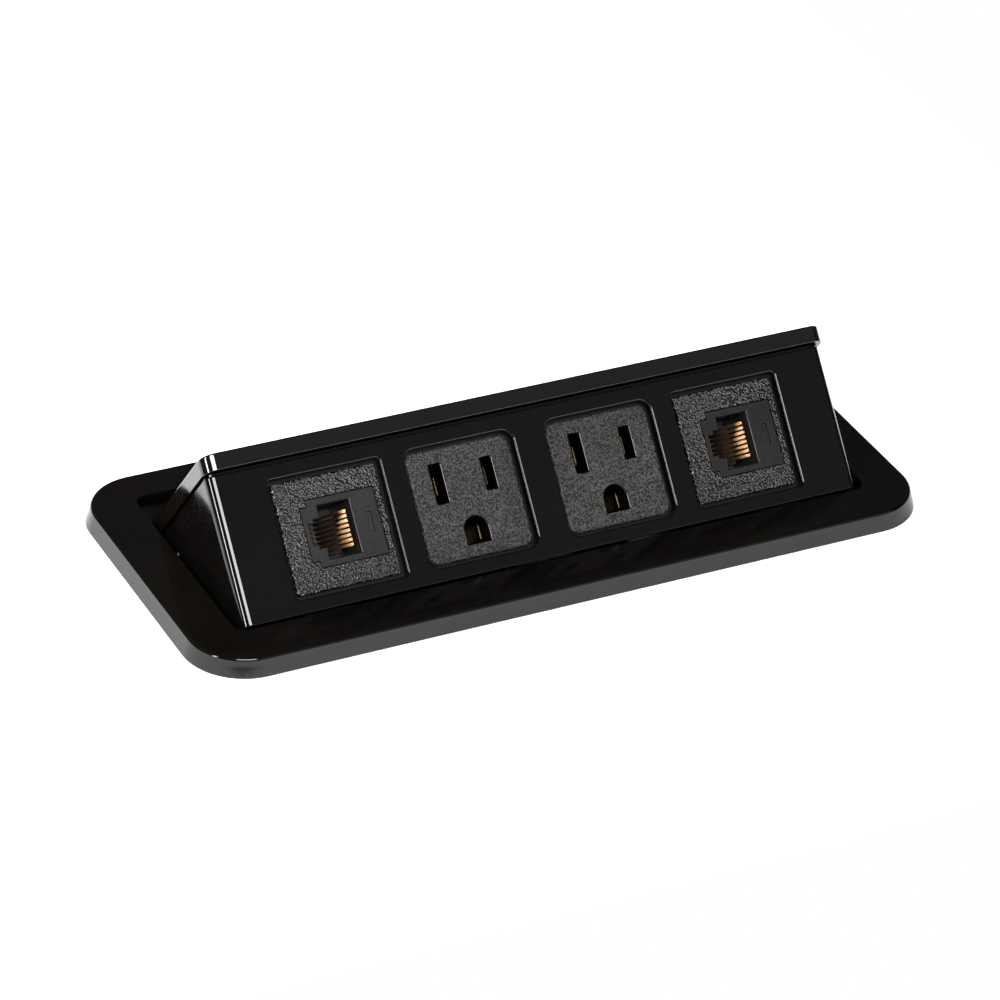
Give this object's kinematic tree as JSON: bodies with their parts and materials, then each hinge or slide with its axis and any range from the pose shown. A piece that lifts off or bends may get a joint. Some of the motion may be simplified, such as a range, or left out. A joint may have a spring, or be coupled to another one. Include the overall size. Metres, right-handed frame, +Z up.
{
  "type": "desk power strip",
  "caption": "Black desk-mounted power and data unit whose glossy lidded socket head tilts up out of a rounded desk flange with an under-desk housing.",
  "frame": {"origin": "middle of the desk cut-out on the desk surface, which is also the underside of the flange", "axes": "+X along the length to the right, +Y to the hinge side at the back, +Z up out of the desk"},
  "size_m": [0.1986, 0.0816, 0.0938],
  "materials": {
    "gloss_black": "glossy black moulded plastic",
    "satin_black": "satin black moulded plastic",
    "textured_black": "black moulded plastic with a pebbled grain",
    "housing_black": "plain matt black moulding",
    "steel": "zinc-plated steel",
    "brass": "stamped brass",
    "gold": "gold-plated contact wire",
    "rubber": "soft black rubber",
    "wire_black": "black wire insulation",
    "wire_white": "white wire insulation",
    "wire_green": "green wire insulation",
    "ivory": "natural nylon"
  },
  "bodies": {
    "unit": {"bezel_screw_1": "steel", "bezel_screw_2": "steel", "bezel_screw_3": "steel", "bezel_screw_4": "steel", "data_cable_grommet": "rubber", "desk_bezel": "gloss_black", "gland_lock_nut": "satin_black", "hinge_pin_left": "steel", "hinge_pin_right": "steel", "latch_screw_left": "steel", "latch_screw_right": "steel", "pin_clip_left": "steel", "pin_clip_right": "steel", "stop_bumper_left": "rubber", "stop_bumper_right": "rubber", "supply_inlet_gland": "satin_black", "torsion_spring_left": "steel", "torsion_spring_right": "steel", "touch_latch_body": "housing_black", "under_desk_housing": "housing_black"},
    "head": {"cover_screw_left": "steel", "cover_screw_right": "steel", "data_insert_left": "textured_black", "data_insert_right": "textured_black", "ground_contact_left": "brass", "ground_contact_right": "brass", "ground_jumper_wire": "wire_green", "jack_contacts_left": "gold", "jack_contacts_right": "gold", "jack_rear_cap_left": "ivory", "jack_rear_cap_right": "ivory", "keystone_jack_left": "textured_black", "keystone_jack_right": "textured_black", "latch_strike": "steel", "lid": "gloss_black", "lid_screw_1": "steel", "lid_screw_2": "steel", "lid_screw_3": "steel", "lid_screw_4": "steel", "line_contact_left": "brass", "line_contact_right": "brass", "line_jumper_wire": "wire_black", "neutral_contact_left": "brass", "neutral_contact_right": "brass", "neutral_jumper_wire": "wire_white", "rear_cover": "housing_black", "receptacle_body_left": "housing_black", "receptacle_body_right": "housing_black", "receptacle_face_left": "textured_black", "receptacle_face_right": "textured_black", "socket_shell": "satin_black"},
    "latch_plunger": {"touch_latch_plunger": "ivory"},
    "clamp_left": {"clamp_bracket_left": "steel", "clamp_nut_left": "steel", "clamp_thumbscrew_left": "steel"},
    "clamp_right": {"clamp_bracket_right": "steel", "clamp_nut_right": "steel", "clamp_thumbscrew_right": "steel"}
  },
  "joints": [
    {"name": "head_tilt", "type": "hinge", "parent": "unit", "child": "head", "pos_m": [0, 0.0164, -0.0041], "axis": [1, 0, 0], "range_deg": [0, 52], "stiffness_Nm_per_rad": 0.05, "springref_deg": -68.75, "deforming": ["torsion_spring_left", "torsion_spring_right"]},
    {"name": "latch_push", "type": "slide", "parent": "unit", "child": "latch_plunger", "axis": [0, 0, 1], "range_m": [-0.003, 0], "stiffness_N_per_m": 400, "springref_m": 0.002},
    {"name": "clamp_slide_left", "type": "slide", "parent": "unit", "child": "clamp_left", "axis": [0, 0, 1], "range_m": [-0.007, 0.007]},
    {"name": "clamp_slide_right", "type": "slide", "parent": "unit", "child": "clamp_right", "axis": [0, 0, 1], "range_m": [-0.007, 0.007]}
  ]
}
